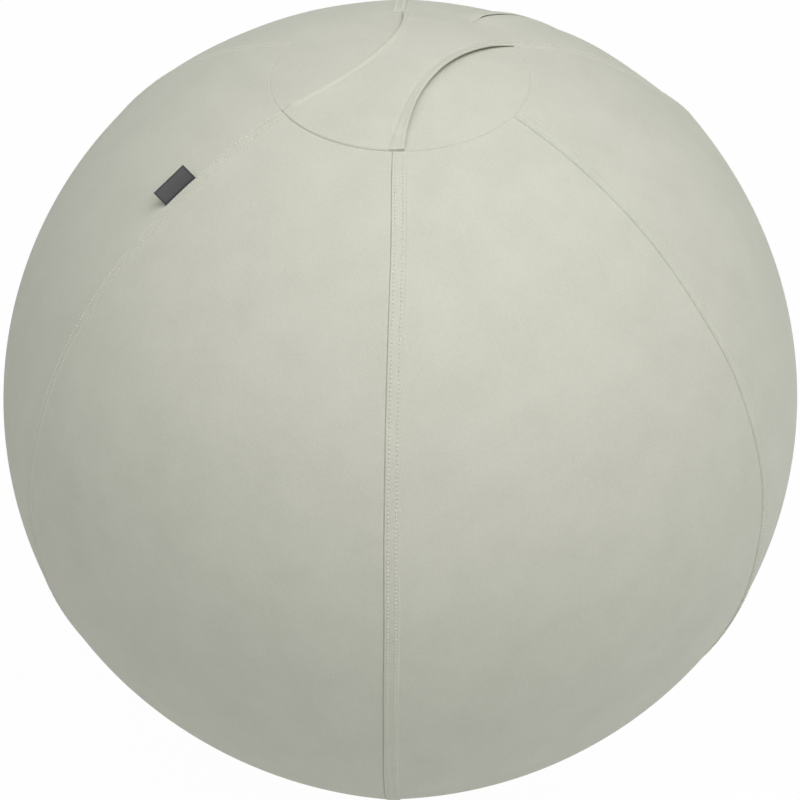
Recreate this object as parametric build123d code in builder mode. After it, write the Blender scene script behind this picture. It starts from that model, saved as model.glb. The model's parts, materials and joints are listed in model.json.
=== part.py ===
from build123d import *
import os
from math import acos, asin, cos, degrees, radians, sin, sqrt

os.makedirs("parts", exist_ok=True)

# Lengths are in millimetres and angles in degrees.
# Polar angles run from the crown's pole, azimuths from +X towards +Y, and the viewer stands at -Y.

# Ball and cover
cover_diameter = 650.0
cover_fabric = 1.5
cover_to_ball = 0.3
ball_wall = 1.0
rest_patch_radius = 45.0
crown_radius = 97.0
base_radius = 97.0
front_join_azimuth = 267.5
left_join_turn = 2.0
zip_turn = -2.0

# Seam allowance pressed to one side of each join and sewn down by two rows of thread
band_width = 10.5
band_height = 0.8
band_root = 0.5
band_end_gap = 2.5
stitch_inset = 2.6
thread_width = 0.6
thread_height = 0.3
thread_gap = 0.05

# Carrying strap over the crown
strap_fabric = 1.6
strap_to_crown = 0.3
strap_neck_left = 19.0
strap_neck_right = 31.0
strap_lap = 10.0
strap_seam_inset = 2.0

# Folded label in the left-hand front join
label_polar = 34.0
label_length = 29.5
label_depth = 13.0
label_thickness = 0.9
label_lift = 0.35
label_edge_gap = 1.2
label_stand = 65.0

# Zip down the middle of the gore at the back right
zip_length = 440.0
zip_seam_gap = 2.0
zip_tail = 10.0
tape_width = 9.0
tape_thickness = 0.5
tape_to_gore = 0.15
tape_to_welt = 0.1
welt_foot_width = 3.7
welt_thickness = 1.25
welt_side_gap = 0.2
tooth_pitch = 4.0
tooth_width = 1.4
tooth_height = 1.9
tooth_overlap = 1.3
chain_half_width = 3.0
cord_width = 1.0
cord_height = 1.2
chain_to_tape = 0.1
stop_length = 3.0
stop_extra_height = 0.2
end_play = 0.4

# Slider and pull
slider_length = 11.0
slider_side_cover = 0.6
slider_side_gap = 0.5
slider_running_gap = 0.3
lower_wing = 0.7
upper_wing = 1.0
post_length = 2.5
post_half_width = 0.7
post_end_inset = 1.5
bail_length = 7.0
bail_half_width = 1.2
bail_bar = 1.0
bail_hole_height = 2.3
pull_length = 26.0
pull_width = 7.0
pull_thickness = 1.2
pull_window_gap = 0.4
pull_window_length = 4.3
pull_corner = 2.0

# Air valve of the ball, reached through the open zip
valve_polar = 80.0
valve_neck_radius = 11.0
valve_flange_radius = 16.0
valve_flange_thickness = 1.5
valve_recess = 0.4
valve_fit = 0.15
valve_bore_radius = 4.5
plug_head_radius = 7.0
plug_head_height = 1.5
plug_stem_length = 9.0
plug_fit = 0.1

# Worked-out sizes of the ball and the cover
cover_radius = cover_diameter / 2
cover_inner = cover_radius - cover_fabric
ball_radius = cover_inner - cover_to_ball
centre_height = sqrt(cover_radius**2 - rest_patch_radius**2)
centre = Vector(0, 0, centre_height)
crown_polar = degrees(asin(crown_radius / cover_radius))
base_polar = 180 - degrees(asin(base_radius / cover_radius))

# Gores in turn from the front join, counter-clockwise from above
gore_names = [
    "gore_front_right",
    "gore_right",
    "gore_back_right",
    "gore_back_left",
    "gore_left",
    "gore_front_left",
]
gore_arc = 360 / len(gore_names)
join_azimuths = [front_join_azimuth + gore_arc * index for index in range(len(gore_names))]
join_azimuths[5] += left_join_turn
join_arcs = [(end - start) % 360 for start, end in zip(join_azimuths, join_azimuths[1:] + join_azimuths[:1])]
zip_gore = gore_names.index("gore_back_right")
strap_azimuth = join_azimuths[zip_gore] + gore_arc / 2
zip_azimuth = strap_azimuth + zip_turn


def along(length):
    # Polar angle that a length takes up on the cover
    return degrees(length / cover_radius)


def polar_point(radius, polar):
    # Point in a meridian plane, outwards and up from the ball's centre
    return (radius * sin(radians(polar)), radius * cos(radians(polar)))


def horizontal(azimuth):
    return Vector(cos(radians(azimuth)), sin(radians(azimuth)), 0)


def radial(polar, azimuth):
    # Unit vector from the ball's centre
    outwards, upwards = polar_point(1, polar)
    return horizontal(azimuth) * outwards + Vector(0, 0, upwards)


def meridian_plane(azimuth):
    # Its X points outwards, its Y points up and its normal points to smaller azimuths
    return Plane(origin=centre, x_dir=horizontal(azimuth), z_dir=horizontal(azimuth - 90))


def tangent_plane(radius, polar, azimuth):
    # Its X runs down the meridian and its normal points away from the ball
    downwards = radial(polar + 90, azimuth)
    outwards = radial(polar, azimuth)
    return Plane(origin=centre + outwards * radius, x_dir=downwards, z_dir=outwards)


def polar_arc(radius, polar_from, polar_to):
    # Arc round the ball's centre, from one polar angle to another
    return CenterArc((0, 0), radius, 90 - polar_from, polar_from - polar_to)


def ring_sector(plane, inner, outer, polar_from, polar_to):
    # Strip of a ring round the ball's centre, between two radii and two polar angles
    with BuildSketch(plane) as section:
        with BuildLine():
            polar_arc(outer, polar_from, polar_to)
            Line(polar_point(outer, polar_to), polar_point(inner, polar_to))
            polar_arc(inner, polar_to, polar_from)
            Line(polar_point(inner, polar_from), polar_point(outer, polar_from))
        make_face()
    return section.sketch


def flat_footed_section(outer, inner, polar_from, outer_drop, inner_drop):
    # Half section of a shell that ends in a flat foot, given by its two depths below the centre
    outer_end = 180 - degrees(acos(outer_drop / outer))
    inner_end = 180 - degrees(acos(inner_drop / inner))
    with BuildSketch(meridian_plane(0)) as section:
        with BuildLine():
            polar_arc(outer, polar_from, outer_end)
            Line(polar_point(outer, outer_end), (0, -outer_drop))
            Line((0, -outer_drop), (0, -inner_drop))
            Line((0, -inner_drop), polar_point(inner, inner_end))
            polar_arc(inner, inner_end, polar_from)
            Line(polar_point(inner, polar_from), polar_point(outer, polar_from))
        make_face()
    return section.sketch


def save(piece, name):
    piece.part.label = name
    export_step(piece.part, f"parts/{name}.step")


# Inflated ball, with a hole for the valve
ball_foot = centre_height - cover_fabric - cover_to_ball
ball_inner = ball_radius - ball_wall
valve_plane = tangent_plane(ball_radius, valve_polar, zip_azimuth)

with BuildPart() as inner_ball:
    revolve(flat_footed_section(ball_radius, ball_inner, 0, ball_foot, ball_foot - ball_wall), axis=Axis.Z)
    with BuildSketch(valve_plane.offset(ball_wall)):
        Circle(valve_neck_radius + valve_fit)
    extrude(amount=-3 * ball_wall, mode=Mode.SUBTRACT)
save(inner_ball, "inner_ball")

# Valve seat: a neck in the ball's wall and a flange behind it
neck_top = valve_plane.offset(-valve_recess)
flange_top_radius = sqrt(ball_inner**2 - valve_flange_radius**2) - valve_fit
flange_top = valve_plane.offset(flange_top_radius - ball_radius)

with BuildPart() as valve_seat:
    with BuildSketch(neck_top):
        Circle(valve_neck_radius)
    extrude(amount=-(ball_radius - valve_recess - flange_top_radius) - valve_flange_thickness)
    with BuildSketch(flange_top):
        Circle(valve_flange_radius)
    extrude(amount=-valve_flange_thickness)
    with Locations(neck_top):
        CounterBoreHole(valve_bore_radius, plug_head_radius, plug_head_height)
save(valve_seat, "valve_seat")

# Valve plug, flush with the seat
with BuildPart() as valve_plug:
    with BuildSketch(neck_top):
        Circle(plug_head_radius - plug_fit)
    extrude(amount=-(plug_head_height - plug_fit))
    with BuildSketch(neck_top):
        Circle(valve_bore_radius - plug_fit)
    extrude(amount=-plug_stem_length)
save(valve_plug, "valve_plug")

# Gores: six panels from the crown to the base, the one with the zip cut in two halves
band_top = crown_polar + along(band_end_gap)
band_bottom = base_polar - along(band_end_gap)
zip_plane = meridian_plane(zip_azimuth)
zip_top = crown_polar + along(zip_seam_gap)
zip_bottom = zip_top + along(zip_length)
slider_half_width = chain_half_width + slider_side_cover
slot_half_width = slider_half_width + slider_side_gap
slot = ring_sector(
    zip_plane,
    cover_inner - cover_fabric,
    cover_radius + cover_fabric,
    crown_polar - along(zip_seam_gap),
    zip_bottom,
)
panels = [
    (name, azimuth, arc, True, False) for name, azimuth, arc in zip(gore_names, join_azimuths, join_arcs)
]
panels[zip_gore : zip_gore + 1] = [
    ("gore_back_right_a", join_azimuths[zip_gore], gore_arc / 2 + zip_turn, True, True),
    ("gore_back_right_b", zip_azimuth, gore_arc / 2 - zip_turn, False, True),
]

for name, azimuth, arc, has_band, has_slot in panels:
    join_plane = meridian_plane(azimuth)
    with BuildPart() as gore:
        revolve(
            ring_sector(join_plane, cover_inner, cover_radius, crown_polar, base_polar),
            axis=Axis.Z,
            revolution_arc=arc,
        )
        if has_band:
            band = ring_sector(
                join_plane, cover_radius - band_root, cover_radius + band_height, band_top, band_bottom
            )
            extrude(band, amount=-band_width)
        if has_slot:
            extrude(slot, amount=slot_half_width, both=True, mode=Mode.SUBTRACT)
    save(gore, name)

# Round panels that close the cover at the crown and at the base
with BuildPart() as crown_disc:
    revolve(ring_sector(meridian_plane(0), cover_inner, cover_radius, 0, crown_polar), axis=Axis.Z)
save(crown_disc, "crown_disc")

with BuildPart() as base_disc:
    revolve(
        flat_footed_section(
            cover_radius, cover_inner, base_polar, centre_height, centre_height - cover_fabric
        ),
        axis=Axis.Z,
    )
save(base_disc, "base_disc")

# Two rows of thread on every band
thread_low = cover_radius + band_height + thread_gap
with BuildPart() as seam_stitching:
    for azimuth in join_azimuths:
        join_plane = meridian_plane(azimuth)
        for row in (stitch_inset, band_width - stitch_inset):
            thread = ring_sector(
                join_plane.offset(thread_width / 2 - row),
                thread_low,
                thread_low + thread_height,
                band_top,
                band_bottom,
            )
            extrude(thread, amount=-thread_width)
save(seam_stitching, "seam_stitching")

# Strap: waisted between two arcs, its ends sewn into the crown's seam and lapped over a band
strap_low = cover_radius + strap_to_crown
strap_end_polar = crown_polar - along(strap_seam_inset)
lap_angle = degrees(strap_lap / crown_radius)
right_front = horizontal(join_azimuths[0] + lap_angle) * crown_radius
right_back = horizontal(join_azimuths[2]) * crown_radius
left_back = horizontal(join_azimuths[3] + lap_angle) * crown_radius
left_front = horizontal(strap_azimuth + 2.5 * gore_arc) * crown_radius
neck_right = horizontal(join_azimuths[1]) * strap_neck_right
neck_left = horizontal(join_azimuths[4]) * strap_neck_left
end_back = horizontal(strap_azimuth) * crown_radius
end_front = horizontal(strap_azimuth + 180) * crown_radius

with BuildPart() as carry_handle:
    revolve(
        ring_sector(meridian_plane(0), strap_low, strap_low + strap_fabric, 0, strap_end_polar), axis=Axis.Z
    )
    with BuildSketch(Plane.XY.offset(centre_height)):
        with BuildLine():
            ThreePointArc(right_front, neck_right, right_back)
            ThreePointArc(right_back, end_back, left_back)
            ThreePointArc(left_back, neck_left, left_front)
            ThreePointArc(left_front, end_front, right_front)
        make_face()
    extrude(amount=cover_diameter, mode=Mode.INTERSECT)
save(carry_handle, "carry_handle")

# Label, standing up out of its join and leaning to the gore on the left
label_azimuth = join_azimuths[5]
label_foot = tangent_plane(cover_radius + label_lift, label_polar, label_azimuth)
label_normal = label_foot.z_dir * cos(radians(label_stand)) + label_foot.y_dir * sin(radians(label_stand))
label_plane = Plane(
    origin=label_foot.origin - label_foot.y_dir * label_edge_gap, x_dir=label_foot.x_dir, z_dir=label_normal
)

with BuildPart() as label_tab:
    with BuildSketch(label_plane):
        with Locations((0, -label_depth / 2)):
            Rectangle(label_length, label_depth)
    extrude(amount=label_thickness)
save(label_tab, "label_tab")

# Heights of the zip's layers, as radii from the ball's centre
tape_low = cover_radius + tape_to_gore
tape_high = tape_low + tape_thickness
welt_low = tape_high + tape_to_welt
welt_high = welt_low + welt_thickness
lower_wing_low = ball_radius + slider_running_gap
lower_wing_high = lower_wing_low + lower_wing
tooth_low = lower_wing_high + slider_running_gap
tooth_high = tooth_low + tooth_height
upper_wing_low = tooth_high + slider_running_gap
upper_wing_high = upper_wing_low + upper_wing
chain_middle = (tooth_low + tooth_high) / 2
cord_low = chain_middle - cord_height / 2
cord_high = chain_middle + cord_height / 2

# Places along the zip, from the lower end where the slider is parked with the zip closed
stop_end = zip_bottom - along(zip_tail)
stop_start = stop_end - along(stop_length)
slider_end = stop_start - along(end_play)
slider_start = slider_end - along(slider_length)
post_end = slider_end - along(post_end_inset)
post_start = post_end - along(post_length)
retainer_start = zip_top + along(zip_seam_gap)
retainer_end = retainer_start + along(stop_length)
chain_start = retainer_end + along(end_play)
chain_end = post_start - along(end_play)
pitch_angle = along(tooth_pitch)
tooth_count = int((chain_end - chain_start) / pitch_angle)
tape_edge = chain_half_width + chain_to_tape
welt_edge = slider_half_width + slider_side_gap
foot_edge = tape_edge + tape_width + welt_side_gap
welt_width = foot_edge + welt_foot_width - welt_edge

for side, sign in (("a", 1), ("b", -1)):
    # Woven tape, lying on the gore's edge
    with BuildPart() as zip_tape:
        strip = ring_sector(zip_plane.offset(sign * tape_edge), tape_low, tape_high, zip_top, zip_bottom)
        extrude(strip, amount=sign * tape_width)
    save(zip_tape, f"zip_tape_{side}")

    # Row of teeth on a cord, set half a pitch on from the other row
    with BuildPart() as zip_teeth:
        cord_plane = zip_plane.offset(sign * (chain_half_width - cord_width))
        cord = ring_sector(cord_plane, cord_low, cord_high, chain_start, chain_end)
        extrude(cord, amount=sign * cord_width)
        first_tooth = 90 - chain_end + pitch_angle * (2 - sign) / 4
        with BuildSketch(zip_plane.offset(-sign * tooth_overlap)):
            with PolarLocations(chain_middle, tooth_count, first_tooth, tooth_count * pitch_angle):
                Rectangle(tooth_height, tooth_width)
        extrude(amount=sign * (tooth_overlap + chain_half_width - cord_width / 2))
    save(zip_teeth, f"zip_teeth_{side}")

    # Facing strip that covers the tape and meets the gore beside it
    with BuildPart() as zip_welt:
        facing = ring_sector(zip_plane.offset(sign * welt_edge), welt_low, welt_high, zip_top, zip_bottom)
        extrude(facing, amount=sign * welt_width)
        foot = ring_sector(zip_plane.offset(sign * foot_edge), tape_low, welt_high, zip_top, zip_bottom)
        extrude(foot, amount=sign * welt_foot_width)
    save(zip_welt, f"zip_welt_{side}")

# Retainer across both rows at the crown's end, and a stop on each row at the closed end
stop_low = tooth_low - stop_extra_height
stop_high = tooth_high + stop_extra_height

with BuildPart() as zip_retainer:
    block = ring_sector(zip_plane, stop_low, stop_high, retainer_start, retainer_end)
    extrude(block, amount=chain_half_width, both=True)
save(zip_retainer, "zip_retainer")

with BuildPart() as zip_end_stops:
    for sign in (1, -1):
        stop_edge = chain_half_width - cord_width - post_half_width
        block = ring_sector(zip_plane.offset(sign * stop_edge), stop_low, stop_high, stop_start, stop_end)
        extrude(block, amount=sign * (chain_half_width - stop_edge))
save(zip_end_stops, "zip_end_stops")

# Slider: two wings, the post that parts the rows, and a bail for the pull
bail_start = (slider_start + slider_end - along(bail_length)) / 2
bail_end = bail_start + along(bail_length)
bail_hole_high = upper_wing_high + bail_hole_height

with BuildPart() as zip_slider:
    lower = ring_sector(zip_plane, lower_wing_low, lower_wing_high, slider_start, slider_end)
    extrude(lower, amount=slider_half_width, both=True)
    upper = ring_sector(zip_plane, upper_wing_low, upper_wing_high, slider_start, slider_end)
    extrude(upper, amount=slider_half_width, both=True)
    post = ring_sector(zip_plane, lower_wing_low, upper_wing_high, post_start, post_end)
    extrude(post, amount=post_half_width, both=True)
    bail = ring_sector(zip_plane, upper_wing_low, bail_hole_high + bail_bar, bail_start, bail_end)
    extrude(bail, amount=bail_half_width, both=True)
    bail_hole = ring_sector(
        zip_plane, upper_wing_high, bail_hole_high, bail_start + along(bail_bar), bail_end - along(bail_bar)
    )
    extrude(bail_hole, amount=bail_half_width, both=True, mode=Mode.SUBTRACT)
save(zip_slider, "zip_slider")

# Pull: a plate with a window, whose head bar turns in the bail
pivot_polar = (bail_start + bail_end) / 2
pivot_radius = upper_wing_high + bail_hole_height / 2
pull_plane = tangent_plane(pivot_radius, pivot_polar, zip_azimuth)

with BuildPart() as zip_pull:
    with BuildSketch(pull_plane.offset(-pull_thickness / 2)):
        with Locations((pull_length / 2 - pull_thickness / 2, 0)):
            RectangleRounded(pull_length, pull_width, pull_corner)
        with Locations((pull_thickness / 2 + pull_window_length / 2, 0)):
            Rectangle(pull_window_length, 2 * (bail_half_width + pull_window_gap), mode=Mode.SUBTRACT)
    extrude(amount=pull_thickness)
save(zip_pull, "zip_pull")
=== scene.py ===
import json
import math

import bpy
import numpy as np
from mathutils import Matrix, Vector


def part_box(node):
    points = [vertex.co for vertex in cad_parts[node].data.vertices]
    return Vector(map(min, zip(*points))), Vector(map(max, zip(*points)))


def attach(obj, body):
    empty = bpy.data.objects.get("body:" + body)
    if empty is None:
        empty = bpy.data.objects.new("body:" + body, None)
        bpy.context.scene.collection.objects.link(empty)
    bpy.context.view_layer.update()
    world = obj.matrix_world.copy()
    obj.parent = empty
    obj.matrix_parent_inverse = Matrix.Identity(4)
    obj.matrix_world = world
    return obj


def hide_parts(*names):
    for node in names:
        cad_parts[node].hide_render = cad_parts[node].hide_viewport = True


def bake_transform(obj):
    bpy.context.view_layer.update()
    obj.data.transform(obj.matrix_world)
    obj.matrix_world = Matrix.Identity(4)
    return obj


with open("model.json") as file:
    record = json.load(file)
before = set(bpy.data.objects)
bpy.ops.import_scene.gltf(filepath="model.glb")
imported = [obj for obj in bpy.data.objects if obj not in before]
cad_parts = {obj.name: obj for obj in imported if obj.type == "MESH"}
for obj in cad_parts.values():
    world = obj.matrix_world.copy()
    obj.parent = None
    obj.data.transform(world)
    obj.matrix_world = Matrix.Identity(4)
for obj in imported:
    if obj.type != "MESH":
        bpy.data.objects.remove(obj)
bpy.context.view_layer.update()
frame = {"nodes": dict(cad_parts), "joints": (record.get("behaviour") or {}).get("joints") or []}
print("frame loaded:", len(frame["nodes"]), "nodes")

# Lengths are in metres, so a size in millimetres is written as 3 * mm.
# Polar angles run down from the crown's pole, azimuths from +X to +Y, and the viewer stands at -Y.
mm = 0.001
rootBody = "ball_and_cover"
jointRows = {row["name"]: row for row in frame["joints"]}

# The ball's own measures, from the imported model
centre = np.array(jointRows["zip_run"]["pos_m"])
crownBox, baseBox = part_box("crown_disc"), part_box("base_disc")
roundRadius = crownBox[1].z - centre[2]
crownPolar = math.asin((crownBox[1].x - crownBox[0].x) / 2 / roundRadius)
basePolar = math.pi - math.asin((baseBox[1].x - baseBox[0].x) / 2 / roundRadius)
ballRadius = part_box("inner_ball")[1].z - centre[2]
meridianLength = roundRadius * (basePolar - crownPolar)

cover = {
    "fabric": 1.5 * mm,
    "ballGap": 0.1 * mm,  # least room between the cloth and the ball inside
    "frontJoin": 267.5,  # azimuth of the front join, degrees
    "lines": [0, 60, 120, 148, 180, 240, 302, 360],  # joins and zip, in turn from the front join
    "ridges": [4.4, 1.5, 6.8, 0, 0.5, 1.0, 0.9, 4.4],  # mm that each line stands above the round
    "ridgeFrom": [17, 17, 42, 17, 17, 17, 17, 17],  # polar angles between which they come up, degrees
    "ridgeTo": [37, 37, 54, 37, 37, 37, 37, 37],
    "ridgePower": [2.4, 3.5, 3.2, 3.5, 3.5, 3.5, 3.5, 2.4],  # how fast each sinks into its panels
    "hollows": [0.6, 1.3, -3.3, 0.4, 1.3, 1.5, 1.5],  # mm that each panel's middle lies below the round
    "crownFade": 0.34,  # radians over which dips die out towards the crown
    "baseFade": 0.75,
    "crownDrop": 1.3 * mm,
    "crownDropTo": 1.1,  # polar angle where the flatter crown ends
    "poleSine": 0.1,  # least sine that a stray distance is divided by
    "wanderAt": [17, 35, 50, 65, 80, 95, 115, 163],  # polar angles, degrees
    "wander": {  # mm that a join strays from its meridian at each of them
        0: [-1.3, 1.2, 1.4, 2.0, 2.8, 2.2, 0.8, 0],
        60: [0, -2.2, -2.6, 1.6, 4.0, 0, -2.5, 0],
        240: [0, 3.0, 7.0, 8.0, 6.0, 3.0, 0, 0],
        302: [-3.6, 0.5, -1.3, -3.9, -5.2, -5.5, -4.5, 0],
    },
}
zipLine, labelLine = cover["lines"][3], cover["lines"][6]
zipAzimuth = math.radians(cover["frontJoin"] + zipLine)


def smooth(x):
    # Eased step: 0 below 0, 1 above 1, and 3 x squared less 2 x cubed between
    x = np.clip(x, 0, 1)
    return x * x * (3 - 2 * x)


def bell(x, width):
    # Bump of height 1 at x = 0: e to the power of minus (x over width) squared
    return np.exp(-((x / width) ** 2))


def heading(azimuth):
    # Unit vectors on the level, cosine and sine of the azimuth
    azimuth = np.asarray(azimuth, float)
    return np.stack([np.cos(azimuth), np.sin(azimuth), np.zeros_like(azimuth)], -1)


def outward(polar, azimuth):
    # Unit vectors away from the ball's centre
    polar, azimuth = np.broadcast_arrays(np.asarray(polar, float), np.asarray(azimuth, float))
    up = np.zeros(polar.shape + (3,))
    up[..., 2] = np.cos(polar)
    return heading(azimuth) * np.sin(polar)[..., None] + up


def joinWander(line, polar):
    # Distance that a join strays from its meridian: eased steps from one listed place to the next
    sizes = np.array(cover["wander"].get(line % 360, [0] * len(cover["wanderAt"]))) * mm
    places = np.radians(cover["wanderAt"])
    spot = np.clip(np.searchsorted(places, polar) - 1, 0, len(places) - 2)
    share = smooth((polar - places[spot]) / (places[spot + 1] - places[spot]))
    return sizes[spot] + (sizes[spot + 1] - sizes[spot]) * share


def joinAzimuth(line, polar):
    # Azimuth of a join or of the zip: its meridian's, plus the stray distance over the radius there
    girth = roundRadius * np.maximum(np.sin(polar), cover["poleSine"])
    return math.radians(cover["frontJoin"] + line) + joinWander(line, polar) / girth


def pick(rows, panel):
    # Each point's own entry in a list along the last axis
    return np.take_along_axis(rows, panel[..., None], -1)[..., 0]


def coverShape(polar, azimuth):
    # Radius of the taut cover: the round, plus a ridge at each line that sinks into its panel as a power,
    # less a sine hollow between lines, both faded at the poles, less the flatter crown
    front = joinAzimuth(0, polar)
    turn = (azimuth - front) % math.tau
    lines = np.stack([joinAzimuth(line, polar) - front for line in cover["lines"]], -1)
    low, high = np.radians(cover["ridgeFrom"]), np.radians(cover["ridgeTo"])
    ridges = np.array(cover["ridges"]) * mm * smooth((polar[..., None] - low) / (high - low))
    panel = (turn[..., None] >= lines[..., 1:-1]).sum(-1)
    start = pick(lines, panel)
    across = (turn - start) / (pick(lines, panel + 1) - start)
    power = np.array(cover["ridgePower"])
    ridge = pick(ridges, panel) * (1 - across) ** power[panel]
    ridge = ridge + pick(ridges, panel + 1) * across ** power[panel + 1]
    hollow = np.array(cover["hollows"])[panel] * mm * np.sin(np.pi * across)
    hollow = hollow * smooth((polar - crownPolar) / cover["crownFade"])
    fade = smooth((basePolar - polar) / cover["baseFade"])
    drop = cover["crownDrop"] * (1 - smooth((polar - crownPolar) / (cover["crownDropTo"] - crownPolar)))
    return roundRadius + fade * (ridge - hollow) - drop


def coverPoint(polar, azimuth, lift=0.0, least=0.0):
    # Point above the cover along its outward line, no nearer the centre than least and not under the floor
    polar, azimuth = np.broadcast_arrays(np.asarray(polar, float), np.asarray(azimuth, float))
    radius = np.maximum(coverShape(polar, azimuth) + lift, least)
    point = centre + outward(polar, azimuth) * radius[..., None]
    point[..., 2] = np.maximum(point[..., 2], 0)
    return point


# Materials

class Wire:
    # One output socket in a material's tree. Sums on it add Math nodes, and node() adds any other node.
    def __init__(self, tree, socket=None):
        self.tree = tree
        self.socket = socket

    def node(self, kind, settings=None, values=None, out=0):
        # A node of that kind: its settings first, then a value or a link for each input
        made = self.tree.nodes.new(kind)
        for key, value in (settings or {}).items():
            setattr(made, key, value)
        for key, value in (values or {}).items():
            socket = made.inputs[key] if isinstance(key, int) else self.find(made, key)
            if isinstance(value, Wire):
                self.tree.links.new(value.socket, socket)
            else:
                socket.default_value = value
        return Wire(self.tree, made.outputs[out])

    @staticmethod
    def find(made, key):
        # The input in use that has that name or identifier
        return next(s for s in made.inputs if s.enabled and key in (s.name, s.identifier))

    def sum(self, operation, first, second):
        # A Math node on two inputs
        return self.node("ShaderNodeMath", {"operation": operation}, {0: first, 1: second})

    def __add__(self, other):
        return self.sum("ADD", self, other)

    def __radd__(self, other):
        return self.sum("ADD", other, self)

    def __sub__(self, other):
        return self.sum("SUBTRACT", self, other)

    def __rsub__(self, other):
        return self.sum("SUBTRACT", other, self)

    def __mul__(self, other):
        return self.sum("MULTIPLY", self, other)

    def __rmul__(self, other):
        return self.sum("MULTIPLY", other, self)

    def __truediv__(self, other):
        return self.sum("DIVIDE", self, other)

    def __rtruediv__(self, other):
        return self.sum("DIVIDE", other, self)

    def wave(self):
        # Sine
        return self.sum("SINE", self, 0.0)

    def size(self):
        # The value without its sign
        return self.sum("ABSOLUTE", self, 0.0)

    def ping(self, length):
        # Zigzag between 0 and that length
        return self.sum("PINGPONG", self, length)

    def between(self, low, high):
        # Runs from 0 at low to 1 at high, eased
        return self.node("ShaderNodeMapRange", {"interpolation_type": "SMOOTHSTEP"},
                         {"Value": self, "From Min": low, "From Max": high})

    def blendShades(self, first, second):
        # Mix of two colours, this value being the second one's share
        return self.node("ShaderNodeMix", {"data_type": "RGBA"},
                         {"Factor_Float": self, "A_Color": first, "B_Color": second}, out=2)


def shade(red, green, blue):
    # Written sRGB levels, 0 to 255, as linear light
    level = np.array([red, green, blue]) / 255
    linear = np.where(level <= 0.04045, level / 12.92, ((level + 0.055) / 1.055) ** 2.4)
    return tuple(float(x) for x in linear) + (1.0,)


def newMaterial(name, **constants):
    # A Principled material with its constant sockets set: the material, its shader and a Wire to build from
    material = bpy.data.materials.new(name)
    material.use_nodes = True
    shader = material.node_tree.nodes["Principled BSDF"]
    for key, value in constants.items():
        shader.inputs[key.replace("_", " ")].default_value = value
    return material, shader, Wire(material.node_tree)


def feed(shader, **wires):
    # Links each wire to the input of that name
    for key, wire in wires.items():
        wire.tree.links.new(wire.socket, shader.inputs[key.replace("_", " ")])


def objectSpot(start):
    # The object's own coordinates, in metres
    return start.node("ShaderNodeTexCoord", out=3)


def clothSpot(start):
    # The cloth's own flat coordinates, in metres: across and along
    flat = start.node("ShaderNodeUVMap", {"uv_map": "cloth"})
    parts = start.node("ShaderNodeSeparateXYZ", values={0: flat}).socket.node.outputs
    return Wire(start.tree, parts[0]), Wire(start.tree, parts[1])


def noise(start, spot, scale, detail=2.0, roughness=0.5):
    # Cloudy noise about 0.5, its scale being clouds to the metre
    return start.node("ShaderNodeTexNoise", values={
        "Vector": spot, "Scale": scale, "Detail": detail, "Roughness": roughness})


def bump(start, height, distance, strength=1.0):
    # Normal tilted by the slope of a height between 0 and 1, that distance deep
    return start.node("ShaderNodeBump", values={
        "Height": height, "Distance": distance, "Strength": strength})


knit = {
    "wale": 1.15 * mm,  # width of one column of loops
    "course": 0.95 * mm,  # height of one row of loops
    "slant": 1.3,  # courses that a loop's leg climbs over half a wale
    "depth": 0.10 * mm,
    "fuzz": 2600.0,  # scales of its three noises
    "speck": 900.0,
    "cloud": 26.0,
    "light": shade(213, 214, 200),
    "dark": shade(200, 201, 187),
    "heights": (0.55, 0.45, 0.35),  # what crest, leg and fuzz add to the loops' height
    "tones": (0.35, 0.45, 0.2),  # what cloud, speck and loops add to the tone
    "levels": (0.3, 0.72),  # tones that give the dark and the light shade
    "sheen": shade(225, 225, 218),
    "roughness": (0.1, 0.87),  # what the fuzz adds, and the least
    "bump": 0.8,
}


def makeKnit():
    # Columns of slanting loops: each wale is a sine ridge whose two legs lean against each other
    material, shader, start = newMaterial("coverKnit", Sheen_Weight=0.4, Sheen_Roughness=0.5,
                                          Sheen_Tint=knit["sheen"], Specular_IOR_Level=0.25)
    across, along = clothSpot(start)
    spot = objectSpot(start)
    column = (across / knit["wale"]).ping(0.5)
    lean = along / knit["course"] + column * knit["slant"]
    leg = (lean * math.tau).wave() * 0.5 + 0.5
    crest = (column * 2.0 * math.pi).wave().size()
    fuzz = noise(start, spot, knit["fuzz"])
    ofCrest, ofLeg, ofFuzz = knit["heights"]
    loops = crest * ofCrest + leg * crest * ofLeg + fuzz * ofFuzz
    cloud = noise(start, spot, knit["cloud"], 4.0, 0.6)
    speck = noise(start, spot, knit["speck"])
    ofCloud, ofSpeck, ofLoops = knit["tones"]
    tone = (cloud * ofCloud + speck * ofSpeck + loops * ofLoops).between(*knit["levels"])
    colour = tone.blendShades(knit["dark"], knit["light"])
    spread, least = knit["roughness"]
    feed(shader, Base_Color=colour, Roughness=fuzz * spread + least,
         Normal=bump(start, loops, knit["depth"], knit["bump"]))
    return material


thread = {
    "light": shade(226, 227, 215),
    "dark": shade(209, 210, 198),
    "twist": 5.0,  # stripes along a stitch
    "plies": 2.0,  # and round it
    "roughness": (0.1, 0.6),  # what a ply adds, and the least
    "depth": 0.05 * mm,
    "bump": 0.6,
}


def makeThread():
    # Twisted plies: stripes that wind round each stitch
    material, shader, start = newMaterial("coverThread", Sheen_Weight=0.1, Specular_IOR_Level=0.35)
    across, along = clothSpot(start)
    ply = ((across * thread["twist"] + along * thread["plies"]) * math.tau).wave() * 0.5 + 0.5
    colour = ply.blendShades(thread["dark"], thread["light"])
    spread, least = thread["roughness"]
    feed(shader, Base_Color=colour, Roughness=ply * spread + least,
         Normal=bump(start, ply, thread["depth"], thread["bump"]))
    return material


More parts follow.
